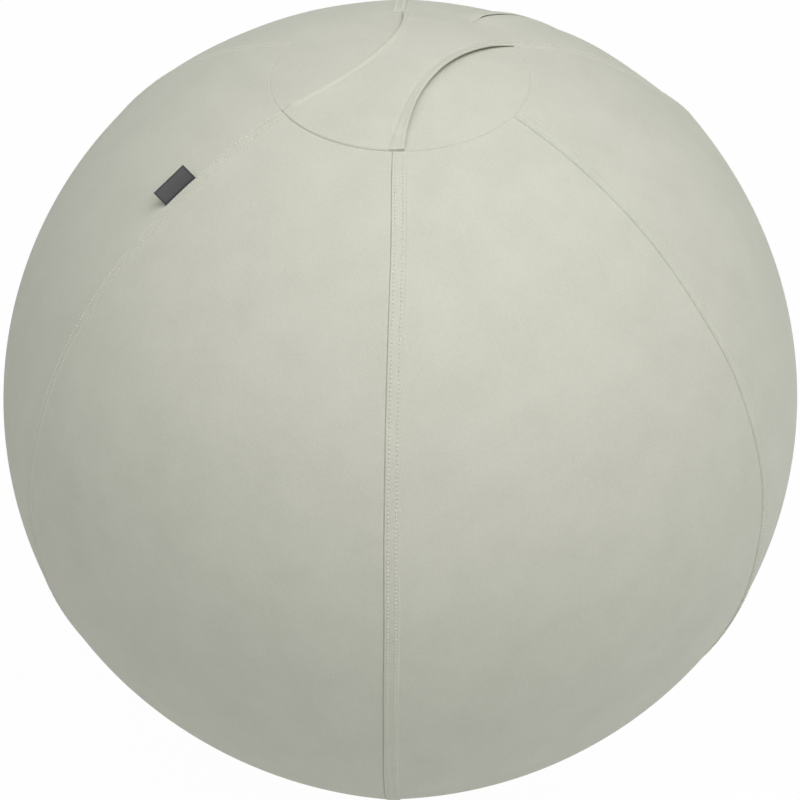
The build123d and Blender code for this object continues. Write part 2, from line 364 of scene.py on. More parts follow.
labelCloth = {
    "rib": 0.42 * mm,
    "pick": 0.60 * mm,
    "light": shade(100, 100, 102),
    "dark": shade(74, 74, 76),
    "edge": shade(60, 60, 62),
    "edgeShare": 0.7,
    "fleck": 1500.0,  # scale of its noise
    "tones": (0.6, 0.6),  # what weave and fleck add to the tone
    "levels": (0.2, 1.0),  # tones that give the dark and the light shade
    "length": 29.5 * mm,
    "fold": 14.4 * mm,  # from either cut end to the fold
    "border": (1.0 * mm, 1.9 * mm),  # darker border along both ends: where it starts to fade and has gone
    "foldBorder": (0.9 * mm, 1.8 * mm),  # the same along the fold, from the fold
    "seamBorder": (11.2 * mm, 12.1 * mm),  # and along the seam, where it comes back
    "roughness": (0.15, 0.72),  # what the fleck adds, and the least
    "depth": 0.08 * mm,
    "bump": 0.8,
}


def makeLabelWeave():
    # Plain weave: two crossed sine ribs that swap over at every crossing, with a darker border all round
    material, shader, start = newMaterial("labelWeave", Sheen_Weight=0.12, Specular_IOR_Level=0.3)
    across, along = clothSpot(start)
    warp = (along * (math.pi / labelCloth["rib"])).wave()
    weft = (across * (math.pi / labelCloth["pick"])).wave()
    weave = warp * weft * 0.5 + 0.5
    fleck = noise(start, objectSpot(start), labelCloth["fleck"])
    ofWeave, ofFleck = labelCloth["tones"]
    tone = (weave * ofWeave + fleck * ofFleck).between(*labelCloth["levels"])
    cloth = tone.blendShades(labelCloth["dark"], labelCloth["light"])
    fromMiddle = (along - labelCloth["length"] / 2).size()
    fromFold = (across - labelCloth["fold"]).size()
    outer, inner = labelCloth["border"]
    inside = 1.0 - fromMiddle.between(labelCloth["length"] / 2 - inner, labelCloth["length"] / 2 - outer)
    inside = inside * fromFold.between(*labelCloth["foldBorder"])
    inside = inside * (1.0 - fromFold.between(*labelCloth["seamBorder"]))
    colour = ((1.0 - inside) * labelCloth["edgeShare"]).blendShades(cloth, labelCloth["edge"])
    spread, least = labelCloth["roughness"]
    feed(shader, Base_Color=colour, Roughness=fleck * spread + least,
         Normal=bump(start, weave, labelCloth["depth"], labelCloth["bump"]))
    return material


tapeCloth = {
    "light": shade(196, 197, 184),
    "dark": shade(176, 177, 165),
    "rib": 0.5 * mm,
    "stripe": 1.5 * mm,
    "slant": 1.5,  # ribs that the slant climbs over a stripe
    "roughness": (0.1, 0.8),  # what a rib adds, and the least
    "depth": 0.06 * mm,
    "bump": 0.8,
}


def makeTape():
    # Herringbone: slanting ribs whose slant turns round at every stripe
    material, shader, start = newMaterial("zipTape", Sheen_Weight=0.1, Specular_IOR_Level=0.3)
    across, along = clothSpot(start)
    slant = (across / tapeCloth["stripe"]).ping(1.0) * tapeCloth["slant"]
    rib = ((along / tapeCloth["rib"] + slant) * math.tau).wave() * 0.5 + 0.5
    colour = rib.blendShades(tapeCloth["dark"], tapeCloth["light"])
    spread, least = tapeCloth["roughness"]
    feed(shader, Base_Color=colour, Roughness=rib * spread + least,
         Normal=bump(start, rib, tapeCloth["depth"], tapeCloth["bump"]))
    return material


moulded = {
    "drift": 40.0,  # scale of the slow noise
    "tones": (0.6, 0.4),  # what drift and grain add to the tone
    "levels": (0.3, 0.7),  # tones that give the dark and the light shade
    "spread": 0.16,  # of the roughness, over the grain
    "bump": 0.5,
}


def makeMoulded(name, light, dark, roughness, grain, depth, **constants):
    # Moulded or lacquered surface: a fine even grain, with the tone drifting slowly over it
    material, shader, start = newMaterial(name, **constants)
    spot = objectSpot(start)
    drift = noise(start, spot, moulded["drift"], 3.0)
    fine = noise(start, spot, grain)
    ofDrift, ofFine = moulded["tones"]
    tone = (drift * ofDrift + fine * ofFine).between(*moulded["levels"])
    colour = tone.blendShades(shade(*dark), shade(*light))
    least = roughness - moulded["spread"] / 2
    feed(shader, Base_Color=colour, Roughness=fine * moulded["spread"] + least,
         Normal=bump(start, fine, depth, moulded["bump"]))
    return material


finishes = {
    "cover_knit": makeKnit(),
    "thread": makeThread(),
    "label_weave": makeLabelWeave(),
    "zip_tape": makeTape(),
    "ball_vinyl": makeMoulded("ballVinyl", (150, 152, 154), (140, 142, 144), 0.5, 1400.0, 0.05 * mm),
    "valve_plastic": makeMoulded("valvePlastic", (224, 224, 220), (212, 212, 207), 0.42, 1800.0, 0.03 * mm),
    "zip_nylon": makeMoulded("zipNylon", (194, 195, 182), (180, 181, 169), 0.4, 2400.0, 0.03 * mm),
    "zip_metal": makeMoulded("zipMetal", (190, 191, 180), (174, 175, 164), 0.34, 2000.0, 0.02 * mm,
                             Coat_Weight=0.5, Coat_Roughness=0.2),
}
print("finishes made:", len(finishes))


# Meshes

def gridQuads(rows, columns, wrap=False):
    # Corner numbers of a grid's faces, facing along (down the rows) x (along the columns); wrap joins the
    # last column to the first
    number = np.arange(rows * columns).reshape(rows, columns)
    right = np.roll(number, -1, 1) if wrap else number[:, 1:]
    left = number if wrap else number[:, :-1]
    return np.stack([left[:-1], left[1:], right[1:], right[:-1]], -1).reshape(-1, 4)


def shellQuads(rows, columns):
    # A grid, the same grid underneath turned over, and the rim that joins them
    count = rows * columns
    number = np.arange(count).reshape(rows, columns)
    top = gridQuads(rows, columns)
    rim = np.concatenate([number[:-1, 0], number[-1, :-1], number[:0:-1, -1], number[0, :0:-1]])
    after = np.roll(rim, -1)
    wall = np.stack([after, rim, rim + count, after + count], -1)
    return np.concatenate([top, top[:, ::-1] + count, wall])


def closedTube(rings, sides):
    # Faces of stacked rings of points, with a point at each end: quads between rings and a fan at both ends
    quads = gridQuads(rings, sides, wrap=True)
    ring = np.arange(sides)
    after = np.roll(ring, -1)
    top = sides * (rings - 1)
    count = sides * rings
    fans = np.concatenate([np.stack([np.full(sides, count), ring, after], -1),
                           np.stack([np.full(sides, count + 1), after + top, ring + top], -1)])
    return quads, fans


def repeatFaces(forms, copies, size):
    # Faces of one form for each of its copies, the corner numbers moved on by its number of points
    shift = (np.arange(copies) * size)[:, None, None]
    return [(faces[None] + shift).reshape(-1, faces.shape[1]) for faces in forms]


def unit(vectors):
    # Each vector over its own length
    return vectors / np.linalg.norm(vectors, axis=-1, keepdims=True)


def makePiece(name, points, polygons, finish, body=rootBody, stands=(), cloth=None, sharp=55):
    # One mesh object from its points and lists of faces with equal corner counts, in its finish, riding on
    # its body in place of the nodes that it stands for
    corners = np.concatenate([faces.ravel() for faces in polygons]).astype(np.int32)
    counts = np.concatenate([np.full(len(faces), faces.shape[1]) for faces in polygons])
    starts = np.concatenate([[0], np.cumsum(counts)[:-1]]).astype(np.int32)
    mesh = bpy.data.meshes.new(name)
    mesh.vertices.add(len(points))
    mesh.vertices.foreach_set("co", np.ascontiguousarray(points, np.float32).ravel())
    mesh.loops.add(len(corners))
    mesh.loops.foreach_set("vertex_index", corners)
    mesh.polygons.add(len(counts))
    mesh.polygons.foreach_set("loop_start", starts)
    mesh.update(calc_edges=True)
    mesh.validate()
    mesh.polygons.foreach_set("use_smooth", np.ones(len(counts), bool))
    mesh.set_sharp_from_angle(angle=math.radians(sharp))
    if cloth is not None:
        layer = mesh.uv_layers.new(name="cloth")
        layer.data.foreach_set("uv", np.ascontiguousarray(cloth[corners], np.float32).ravel())
    piece = bpy.data.objects.new(name, mesh)
    bpy.context.scene.collection.objects.link(piece)
    mesh.materials.append(finishes[finish])
    if body:
        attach(piece, body)
    if stands:
        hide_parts(*stands)
    return piece


def makeShell(name, outer, inner, flat, finish, turned=False, **about):
    # A sheet as a closed piece: a grid of points for each face, joined round the rim, both with the same
    # flat coordinates; turned where the grid's faces look inwards
    points = np.concatenate([outer.reshape(-1, 3), inner.reshape(-1, 3)])
    quads = shellQuads(*outer.shape[:2])
    return makePiece(name, points, [quads[:, ::-1] if turned else quads], finish,
                     cloth=np.concatenate([flat.reshape(-1, 2)] * 2), **about)


seam = {
    "band": 10.5 * mm,  # width of the seam allowance sewn down beside each join
    "height": 0.85 * mm,
    "low": {120: 0.3, 180: 0.5, 240: 0.25, 302: 0.4},  # share of that height on joins drawn flatter
    "groove": 0.65 * mm,  # depth of the join below the cover
    "climb": 0.6 * mm,  # from the join up to the band's top
    "fall": 1.3 * mm,  # from the band's top down to the panel
    "longFall": {302: 5.0 * mm},  # where that is longer
    "fallStart": 0.4 * mm,  # how far inside the band's width it starts
    "reach": 0.8 * mm,  # how far from the join the other panel starts to turn in
    "rows": (2.8 * mm, 8.3 * mm),
    "pulled": {302: 1.5 * mm},  # joins drawn under, so that less of their band shows
    "shallow": {60: 0.6, 120: 0.5, 240: 0.4, 302: 0.3},  # and what is left of their groove
    "dimple": 0.05 * mm,
    "dimpleWidth": 0.9 * mm,
    "pucker": 0.06 * mm,
    "puckerLength": 9.0 * mm,
    "puckerSecond": (0.7, 1.63, 2.3),  # a second wave's height, length and phase, in shares of the first's
    "heldEnd": 1.2 * mm,  # length at each end where the round seam holds a band down
    "heldShare": 0.25,  # and what is left of its height there
    "ringGroove": 1.25 * mm,  # the seams round the crown and the base, where they are deepest
    "ringAt": math.radians(300),  # azimuth of that place
    "ringBack": 0.12,  # share of that depth opposite to it
    "ringReach": 0.7 * mm,
    "ringSwell": 0.38 * mm,  # how far the allowances under it lift both edges
    "swellReach": 9.0 * mm,
}


def turnIn(distance, depth, reach):
    # The cloth's edge rolls down into a seam: minus depth times (1 less distance over reach) squared
    return -depth * (1 - np.clip(distance / reach, 0, 1)) ** 2


def ringDip(fromSeam, azimuth):
    # Edge beside a round seam: eased up over the allowances, then turned in; both shrink from front to back
    # as a squared half cosine
    share = seam["ringBack"] + (1 - seam["ringBack"]) * (0.5 + 0.5 * np.cos(azimuth - seam["ringAt"])) ** 2
    swell = seam["ringSwell"] * share * (1 - smooth(fromSeam / seam["swellReach"]))
    return swell + turnIn(fromSeam, seam["ringGroove"] * share, seam["ringReach"])


def bandHeight(distance, line):
    # Up out of the groove, level with a dimple at each row of stitches, then down to the panel
    inward = distance + seam["pulled"].get(line, 0)
    climb = smooth(distance / seam["climb"])
    fall = seam["longFall"].get(line, seam["fall"])
    level = 1 - smooth((inward - seam["band"] + seam["fallStart"]) / fall)
    dimples = sum(bell(inward - row, seam["dimpleWidth"]) for row in seam["rows"])
    groove = seam["groove"] * seam["shallow"].get(line, 1)
    height = seam["height"] * seam["low"].get(line, 1)
    return height * climb * level - groove * (1 - climb) - seam["dimple"] * dimples


def pucker(along, distance, phase):
    # Slight gathering by the stitches: two sine waves along the seam, dying out away from the band
    wave = np.sin(math.tau * along / seam["puckerLength"] + phase)
    height, length, turn = seam["puckerSecond"]
    wave = wave + height * np.sin(math.tau * along / (seam["puckerLength"] * length) + turn * phase)
    return seam["pucker"] * wave * bell(distance - seam["band"] / 2, seam["band"])


zipLips = {
    "slit": 0.8 * mm,  # half the gap between the two lips
    "slitStart": 0.3,  # share of it at the crown's seam
    "rise": 1.9 * mm,  # how far the lips stand above the round
    "nearShare": 0.82,  # share of that on the lip beside gore a
    "nearTo": (360.0 * mm, 410.0 * mm),  # where that lip comes up to the other's height
    "crest": 3.0 * mm,  # distance from the zip's middle where they start to fall
    "foot": 24.0 * mm,  # and where they have run out into the panel
    "roll": 0.2 * mm,
    "rollReach": 0.8 * mm,
    "cloth": 0.35 * mm,  # single turned edge, over the chain
    "clothTo": (13.0 * mm, 18.0 * mm),  # where the full thickness starts
    "clothEase": 2.5,  # how much sooner than the lips' height the thin edge starts, along the zip
    "top": 22.0 * mm,  # length over which they come up, from the crown's seam
    "bottom": (436.0 * mm, 454.0 * mm),  # where they go down again
    "closed": 448.0 * mm,  # end of the slit
    "closing": 9.0 * mm,
    "groove": 0.6 * mm,  # plain join from there to the base
}


def lipOn(along):
    # Share of the lips' height down the zip: eased up from the crown's seam, eased out at the lower end
    low, high = zipLips["bottom"]
    return smooth(along / zipLips["top"]) * (1 - smooth((along - low) / (high - low)))


def slitHalf(along):
    # Half the slit's width: eased open from the crown's seam, closing as a quarter ellipse at its lower end
    left = np.clip((zipLips["closed"] - along) / zipLips["closing"], 0, 1)
    opened = zipLips["slitStart"] + (1 - zipLips["slitStart"]) * smooth(along / zipLips["top"])
    return zipLips["slit"] * opened * np.sqrt(1 - (1 - left) ** 2)


def lipLift(fromMiddle, fromEdge, along, near):
    # A lip's height above the cover: level beside the slit, eased down to the panel, rolled in at the edge;
    # the near one is lower
    polar = crownPolar + along / roundRadius
    drop = roundRadius - coverShape(polar, np.full_like(polar, zipAzimuth))
    down = smooth((fromMiddle - zipLips["crest"]) / (zipLips["foot"] - zipLips["crest"]))
    on = lipOn(along)
    roll = turnIn(fromEdge, zipLips["roll"], zipLips["rollReach"]) * on
    groove = turnIn(fromEdge, zipLips["groove"], zipLips["rollReach"]) * (1 - on)
    low, high = zipLips["nearTo"]
    share = 1 - near * (1 - zipLips["nearShare"]) * (1 - smooth((along - low) / (high - low)))
    return (zipLips["rise"] * share + drop) * on * (1 - down) + roll + groove


def lipCloth(fromMiddle, along):
    # Thickness of the cloth: a single turned edge over the chain, the full cloth beside it
    low, high = zipLips["clothTo"]
    beyond = 1 - smooth(lipOn(along) * zipLips["clothEase"])
    full = np.maximum(smooth((fromMiddle - low) / (high - low)), beyond)
    return zipLips["cloth"] + (cover["fabric"] - zipLips["cloth"]) * full


def goreLift(distance, farDistance, along, azimuth, line, farLine, phase):
    # Height of a gore's face above the cover: its band or lip, its far edge and its two ends
    lift = np.zeros(np.broadcast(distance, farDistance, along).shape)
    ends = np.minimum(along, meridianLength - along)
    held = smooth(ends / seam["heldEnd"])
    if line == zipLine:
        lift = lift + lipLift(distance + slitHalf(along), distance, along, False)
    else:
        lift = lift + bandHeight(distance, line) * (seam["heldShare"] + (1 - seam["heldShare"]) * held)
        lift = lift + pucker(along, distance, phase) * held
    if farLine == zipLine:
        lift = lift + lipLift(farDistance + slitHalf(along), farDistance, along, True)
    elif farLine is not None:
        depth = seam["groove"] * seam["shallow"].get(farLine % 360, 1)
        lift = lift + turnIn(farDistance, depth, seam["reach"])
    return lift + ringDip(ends, azimuth)


gores = {
    "names": ["front_right", "right", "back_right_a", "back_right_b", "back_left", "left", "front_left"],
    "turn": 60,  # degrees of a whole panel
    "rows": 270,
    "middle": 44,  # columns across a whole panel, between its edges
    "edge": 5.0 * mm,  # strip at each end and at the far edge with closer points
    "endSteps": 9,
    "farSteps": 11,
    "lip": 26.0 * mm,  # strip beside the zip
    "lipSteps": 22,
    "lipPower": 2.2,
    "bandSteps": [  # stretches beside a join: from and to, in mm, and the number of points
        (0, 0.9, 9), (1.15, 4.4, 9), (5, 7, 4), (7.4, 9.4, 6), (9.7, 11.9, 10), (12.6, 15, 4)],
    "phase": 1.7,  # by which the puckers shift from each panel to the next
    "cut": (0.340, 0.829),
    "cutArea": 0.2116,
}


def edgeSteps(count, reach, power=1.7):
    # Distances from an edge, closer together near it: a power of even steps
    return reach * np.linspace(0, 1, count) ** power


def bandSteps(line):
    # Distances from a join, closer together at the groove and at the band's far edge
    steps = np.concatenate([np.linspace(*stretch) for stretch in gores["bandSteps"]]) * mm
    return steps * (1 - seam["pulled"].get(line, 0) / seam["band"])


def makeGore(node, line, farLine, phase, stands):
    # Panel between two joins from the crown's seam to the base's: distance from its first edge on one axis,
    # length down the meridian on the other, closed underneath by its inner face
    ends = edgeSteps(gores["endSteps"], gores["edge"])
    middle = np.linspace(gores["edge"], meridianLength - gores["edge"], gores["rows"])
    along = np.concatenate([ends[:-1], middle, meridianLength - ends[-2::-1]])[:, None]
    polar = crownPolar + along / roundRadius
    perRadian = roundRadius * np.sin(polar)
    first, last = joinAzimuth(line, polar), joinAzimuth(farLine, polar)
    firstGap = slitHalf(along) if line == zipLine else np.zeros_like(along)
    lastGap = slitHalf(along) if farLine == zipLine else np.zeros_like(along)
    width = perRadian * (last - first) - firstGap - lastGap
    lip = edgeSteps(gores["lipSteps"], gores["lip"], gores["lipPower"])
    near = lip if line == zipLine else bandSteps(line)
    far = lip if farLine == zipLine else edgeSteps(gores["farSteps"], gores["edge"])
    share = (farLine - line) / gores["turn"]
    inside = round(gores["middle"] * share) + 2
    room = width - near[-1] - far[-1]
    distance = np.concatenate([np.broadcast_to(near, (len(along), len(near))),
                               near[-1] + room * np.linspace(0, 1, inside)[1:-1], width - far[::-1]], 1)
    azimuth = first + (distance + firstGap) / perRadian
    along = np.broadcast_to(along, distance.shape)
    lift = goreLift(distance, width - distance, along, azimuth, line, farLine, phase)
    thick = cover["fabric"]
    if line == zipLine:
        thick = lipCloth(distance + firstGap, along)
    if farLine == zipLine:
        thick = lipCloth(width - distance + lastGap, along)
    outer = coverPoint(polar, azimuth, lift, ballRadius + 2 * cover["ballGap"])
    inner = coverPoint(polar, azimuth, lift - thick, ballRadius + cover["ballGap"])
    flat = np.stack([distance - width / 2, along], -1)
    piece = makeShell(node.replace("gore", "panel"), outer, inner, flat, "cover_knit", stands=stands)
    cut = (gores["cut"][0] * share, gores["cut"][1])
    gores["cutArea"] * share


for place, goreName in enumerate(gores["names"]):
    node = "gore_" + goreName
    line, farLine = cover["lines"][place:place + 2]
    facing = ["zip_welt_" + goreName[-1]] if zipLine in (line, farLine) else []
    makeGore(node, line, farLine, gores["phase"] * place, [node] + facing)
print("gores made:", len(gores["names"]))


# Round panels

discs = {"rings": 60, "spokes": 216, "cut": 0.198, "cutArea": 0.0303}


def makeDisc(node, atBase):
    # Cap about the pole: rings from the pole to the seam, closer at the seam, where the edge rolls in, and
    # back to the pole on the inner face
    length = roundRadius * (math.pi - basePolar if atBase else crownPolar)
    fromSeam = edgeSteps(gores["endSteps"], gores["edge"])
    middle = np.linspace(0, length - gores["edge"], discs["rings"])
    run = np.concatenate([middle[1:], length - fromSeam[-2::-1]])
    polar = (math.pi - run / roundRadius if atBase else run / roundRadius)[:, None]
    azimuth = np.linspace(0, math.tau, discs["spokes"], endpoint=False)[None, :]
    azimuth = -azimuth if atBase else azimuth
    lift = ringDip((length - run)[:, None], azimuth)
    outer = coverPoint(polar, azimuth, lift, ballRadius + 2 * cover["ballGap"])
    inner = coverPoint(polar, azimuth, lift - cover["fabric"], ballRadius + cover["ballGap"])
    if atBase:
        inner[..., 2] = np.maximum(inner[..., 2], cover["fabric"])
    outerPole = coverPoint(math.pi if atBase else 0.0, 0.0)
    innerPole = outerPole + np.array([0, 0, cover["fabric"] if atBase else -cover["fabric"]])
    points = np.concatenate([outer.reshape(-1, 3), inner[::-1].reshape(-1, 3), [outerPole, innerPole]])
    polygons = closedTube(2 * len(run), discs["spokes"])
    piece = makePiece(node.replace("disc", "panel"), points, polygons, "cover_knit", stands=[node],
                      cloth=points[:, :2])


makeDisc("crown_disc", False)
makeDisc("base_disc", True)
print("crown and base made")


# Stitches

stitch = {
    "pitch": 3.0 * mm,
    "length": 2.2 * mm,
    "width": 1.1 * mm,
    "rise": 0.36 * mm,
    "sink": 0.14 * mm,
    "stations": (-0.46, -0.3, 0.0, 0.3, 0.46),  # rings along it, in shares of its length
    "girths": (0.6, 0.95, 1.0, 0.95, 0.6),  # shares of its width there
    "oval": 0.8,
    "sides": 6,
    "start": 3.0 * mm,
    "stagger": 0.4,  # how far the second row is shifted, in pitches
    "wander": 0.08 * mm,
    "probe": 0.5 * mm,  # step that finds the cloth's slope
    "seed": 11,
}


def stitchForm():
    # One stitch: a thread that comes up, arches and dives, as rings on a parabola whose girth closes
    # at both ends
    stations = np.array(stitch["stations"])
    girth = np.array(stitch["girths"])[:, None] * stitch["width"] / 2
    angle = np.linspace(0, math.tau, stitch["sides"], endpoint=False)
    arch = stitch["rise"] * (1 - (2 * stations) ** 2) - stitch["sink"]
    x = np.repeat(stations * stitch["length"], stitch["sides"])
    y = (girth * np.cos(angle)).ravel()
    z = (arch[:, None] + girth * stitch["oval"] * np.sin(angle)).ravel()
    tips = [[end * stitch["length"], 0, -2 * stitch["sink"]] for end in (-0.5, 0.5)]
    points = np.concatenate([np.stack([x, y, z], -1), tips])
    quads, fans = closedTube(len(stations), stitch["sides"])
    turn = np.concatenate([np.tile(angle / math.tau, len(stations)), [0, 0]])
    return points, [quads[:, ::-1], fans[:, ::-1]], np.stack([points[:, 0] / stitch["length"], turn], -1)


def sewRows(spots, alongs, ups):
    # The stitch repeated: its own axes laid along the seam, across it and away from the cloth
    points, polygons, flat = stitchForm()
    axes = np.stack([alongs, np.cross(ups, alongs), ups], 1)
    laid = spots[:, None] + points @ axes
    faces = repeatFaces(polygons, len(spots), len(points))
    return laid.reshape(-1, 3), faces, np.tile(flat, (len(spots), 1))


def makeSeamRows(name, line, phase, seed):
    # Both rows beside one join: even steps down the meridian, each row at its own distance from the join
    draw = np.random.default_rng(seed)
    along = np.arange(stitch["start"], meridianLength - stitch["start"], stitch["pitch"])
    along = np.concatenate([along, along + stitch["pitch"] * stitch["stagger"]])
    row = np.repeat(seam["rows"], len(along) // 2) - seam["pulled"].get(line, 0)
    row = row + draw.normal(0, stitch["wander"], len(row))

    def onBand(length, distance):
        # Point on the band at a length down the meridian and a distance from the join
        polar = crownPolar + length / roundRadius
        azimuth = joinAzimuth(line, polar) + distance / (roundRadius * np.sin(polar))
        return coverPoint(polar, azimuth, goreLift(distance, 1.0, length, azimuth, line, None, phase))

    step = stitch["probe"]
    spots = onBand(along, row)
    alongs = unit(onBand(along + step, row) - onBand(along - step, row))
    acrosses = onBand(along, row + step) - onBand(along, row - step)
    ups = unit(np.cross(alongs, acrosses))
    points, polygons, flat = sewRows(spots, alongs, ups)
    makePiece(name, points, polygons, "thread", stands=["seam_stitching"], cloth=flat, sharp=80)


joinNames = ["front", "right_front", "right_back", "back", "left_back", "left_front"]
joinLines = [line for line in cover["lines"][:-1] if line != zipLine]
for place, (joinName, line) in enumerate(zip(joinNames, joinLines)):
    phase = gores["phase"] * cover["lines"].index(line)
    makeSeamRows("stitches_" + joinName, line, phase, stitch["seed"] + place)
print("seams stitched:", len(joinNames))


# Carrying strap

strap = {
    "heading": math.radians(cover["frontJoin"] + 150),  # azimuth of its far end
    "neckLeft": 20.0 * mm,  # from the pole to each side of the neck
    "neckRight": 33.0 * mm,
    "right": (0, 119.5),  # its corners on the crown's edge, front and back, in degrees from the front join
    "left": (299.5, 180),
    "lap": (7.3 * mm, 3.0 * mm),  # how far the front right and the back left corner lap over a band
    "fabric": 1.5 * mm,
    "hem": (5.4 * mm, 3.6 * mm),  # folded edge on the right and on the left
    "hemFlare": (3.8 * mm, 0.0),  # and how much wider it is at both ends
    "hemExtra": 0.6 * mm,
    "hemEnd": 1.0 * mm,  # over which that ends
    "hemGroove": 0.4 * mm,
    "grooveAt": 0.3 * mm,  # past the hem
    "grooveWidth": (1.3 * mm, 0.5 * mm),
    "curl": (0.9 * mm, 0.2 * mm),  # how far each edge turns up
    "bead": 0.4 * mm,  # rolled edge
    "beadAt": 1.4 * mm,
    "beadWidth": 1.12 * mm,
    "seat": 0.05 * mm,  # room under it at the seam, and more away from there
    "gap": 0.5 * mm,
    "bow": 2.2 * mm,  # how far the middle stands off the crown, on the right
    "bowLeft": 0.4,  # share of that on the left
    "bowPower": (0.7, 1.8),  # how fast it sinks towards the front and the back
    "roll": 1.2 * mm,  # radius of the folded edge
    "rollShare": 0.48,  # share of the thickness that it takes off each face
    "rows": 110,
    "columns": 96,
    "crowding": 0.92,  # how far the columns crowd towards both sides
    "sewn": 0.35 * mm,  # what is left of the thickness in the crown's seam
    "endEase": 0.8 * mm,  # from the seam to the full thickness
    "endRise": 26.0 * mm,  # and to the full stand-off
    "sideRise": (9.0 * mm, 24.0 * mm),  # the same along both sides, at the front and at the back
    "sideStrip": (3.0 * mm, 12.0 * mm),  # strip where that holds, and the width over which it ends
    "endTop": (0.2, 0.5),  # share of the thickness left close to the seam, and there in the wide hem
    "cut": (0.100, 0.098),
    "cutArea": 0.0064,
}
crownEdge = roundRadius * math.sin(crownPolar)


def arcThrough(first, middle, last, run):
    # Circle through three points: its centre is equally far from all, and the angle goes evenly with run
    sides = np.array([middle - first, last - first])
    hub = first + np.linalg.solve(2 * sides, (sides**2).sum(1))
    start, end = first - hub, last - hub
    turn = math.atan2(start[0] * end[1] - start[1] * end[0], start @ end)
    angle = math.atan2(start[1], start[0]) + turn * run
    return hub + np.linalg.norm(start) * np.stack([np.cos(angle), np.sin(angle)], -1)


def crownCorner(turn, lap=0.0):
    # Point on the crown's edge as distances along and across the strap
    angle = math.radians(cover["frontJoin"] + turn) + lap / crownEdge - strap["heading"]
    return crownEdge * np.array([math.cos(angle), -math.sin(angle)])


def hemForm(fromEdge, hem, side):
    # One side's fold: extra cloth up to a sewn groove, a bead along the edge, and the edge turned up with
    # the square of the distance
    groove = strap["grooveWidth"][side]
    extra = strap["hemExtra"] * (1 - smooth((fromEdge - hem) / strap["hemEnd"]))
    extra = extra - strap["hemGroove"] * bell(fromEdge - hem - strap["grooveAt"], groove)
    extra = extra + strap["bead"] * bell(fromEdge - strap["beadAt"], strap["beadWidth"])
    return extra, strap["curl"][side] * (1 - np.clip(fromEdge / hem, 0, 1)) ** 2


def makeStrap(name, first, last):
    # Waisted strip between two arcs, its ends bulged out to the crown's circle, lying on the cover with a
    # bow in the middle and a thicker, rounded hem along both sides; first and last are shares of its length
    run = np.linspace(first, last, strap["rows"])
    frontLap, backLap = strap["lap"]
    front, back = strap["right"]
    neck = np.array([0, strap["neckRight"]])
    right = arcThrough(crownCorner(front, frontLap), neck, crownCorner(back), run)
    front, back = strap["left"]
    neck = np.array([0, -strap["neckLeft"]])
    left = arcThrough(crownCorner(front), neck, crownCorner(back, backLap), run)
    even = np.linspace(0, 1, strap["columns"])
    share = strap["crowding"] * (0.5 - 0.5 * np.cos(math.pi * even)) + (1 - strap["crowding"]) * even
    spot = right[:, None] + (left - right)[:, None] * share[None, :, None]
    endwards = 2 * run[:, None] - 1
    flare = np.abs(endwards) ** 3
    half = 0 if first == 0 else 1
    end = spot[-half]
    bulge = np.copysign(np.sqrt(crownEdge**2 - end[:, 1] ** 2), end[:, 0]) - end[:, 0]
    along, across = spot[..., 0] + flare * bulge, spot[..., 1]
    width = np.linalg.norm(left - right, axis=-1)[:, None]
    fromRight, fromLeft = width * share, width * (1 - share)
    fromSide = np.minimum(fromRight, fromLeft)
    polar = np.minimum(np.arcsin(np.hypot(along, across) / roundRadius), crownPolar)
    fromSeam = roundRadius * (crownPolar - polar)
    azimuth = strap["heading"] - np.arctan2(across, along)
    strip, stripEnd = strap["sideStrip"]
    beside = 1 - smooth((fromSide - strip) / stripEnd)
    away = smooth(fromSeam / (strap["endRise"] + (strap["sideRise"][half] - strap["endRise"]) * beside))
    rightHem, leftHem = (hem + wider * flare for hem, wider in zip(strap["hem"], strap["hemFlare"]))
    plain, hemmed = strap["endTop"]
    kept = plain + (hemmed - plain) * (1 - smooth((fromRight - rightHem) / strap["hemEnd"]))
    ease = smooth(fromSeam / strap["endEase"]) * (kept + (1 - kept) * away)
    bow = strap["bow"] * np.clip(np.cos(endwards * math.pi / 2), 0, 1) ** strap["bowPower"][half]
    bow = bow * (1 - (1 - strap["bowLeft"]) * share)
    rightExtra, rightCurl = hemForm(fromRight, rightHem, 0)
    leftExtra, leftCurl = hemForm(fromLeft, leftHem, 1)
    thick = strap["sewn"] + (strap["fabric"] + rightExtra + leftExtra - strap["sewn"]) * ease
    rounding = 1 - np.sqrt(1 - (1 - np.clip(fromSide / strap["roll"], 0, 1)) ** 2)
    rounding = strap["rollShare"] * rounding
    seat = ringDip(fromSeam, azimuth) + strap["seat"]
    seat = seat + (strap["gap"] + bow) * away + (rightCurl + leftCurl) * ease
    outer = coverPoint(polar, azimuth, seat + thick * (1 - rounding))
    inner = coverPoint(polar, azimuth, seat + thick * rounding)
    piece = makeShell(name, outer, inner, np.stack([across, along], -1), "cover_knit", body=None,
                      stands=["carry_handle"])
    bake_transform(piece)


makeStrap("strap_front", 0.0, 0.5)
makeStrap("strap_back", 0.5, 1.0)
print("strap made")


# Label

label = {
    "length": labelCloth["length"],
    "depth": 13.0 * mm,
    "foot": 1.4 * mm,  # sunk in the join
    "beside": 1.3 * mm,  # to the left of the join's middle
    "cloth": 0.42 * mm,
    "turn": 0.55,  # radius of its fold, in thicknesses of the ribbon
    "puff": 0.3 * mm,  # how far the two layers part
    "lean": (78.0, 54.0),  # degrees above the cover, at the foot and at the fold
    "warp": 0.5 * mm,
    "warpWave": (4.0, 0.4),  # radians of that wave over the length, and where it starts
    "steps": (30, 7, 40),  # points up a layer, round the fold and along the length
    "bend": 3.0 * mm,  # strip beside the seam, out from the foot along its lean
}


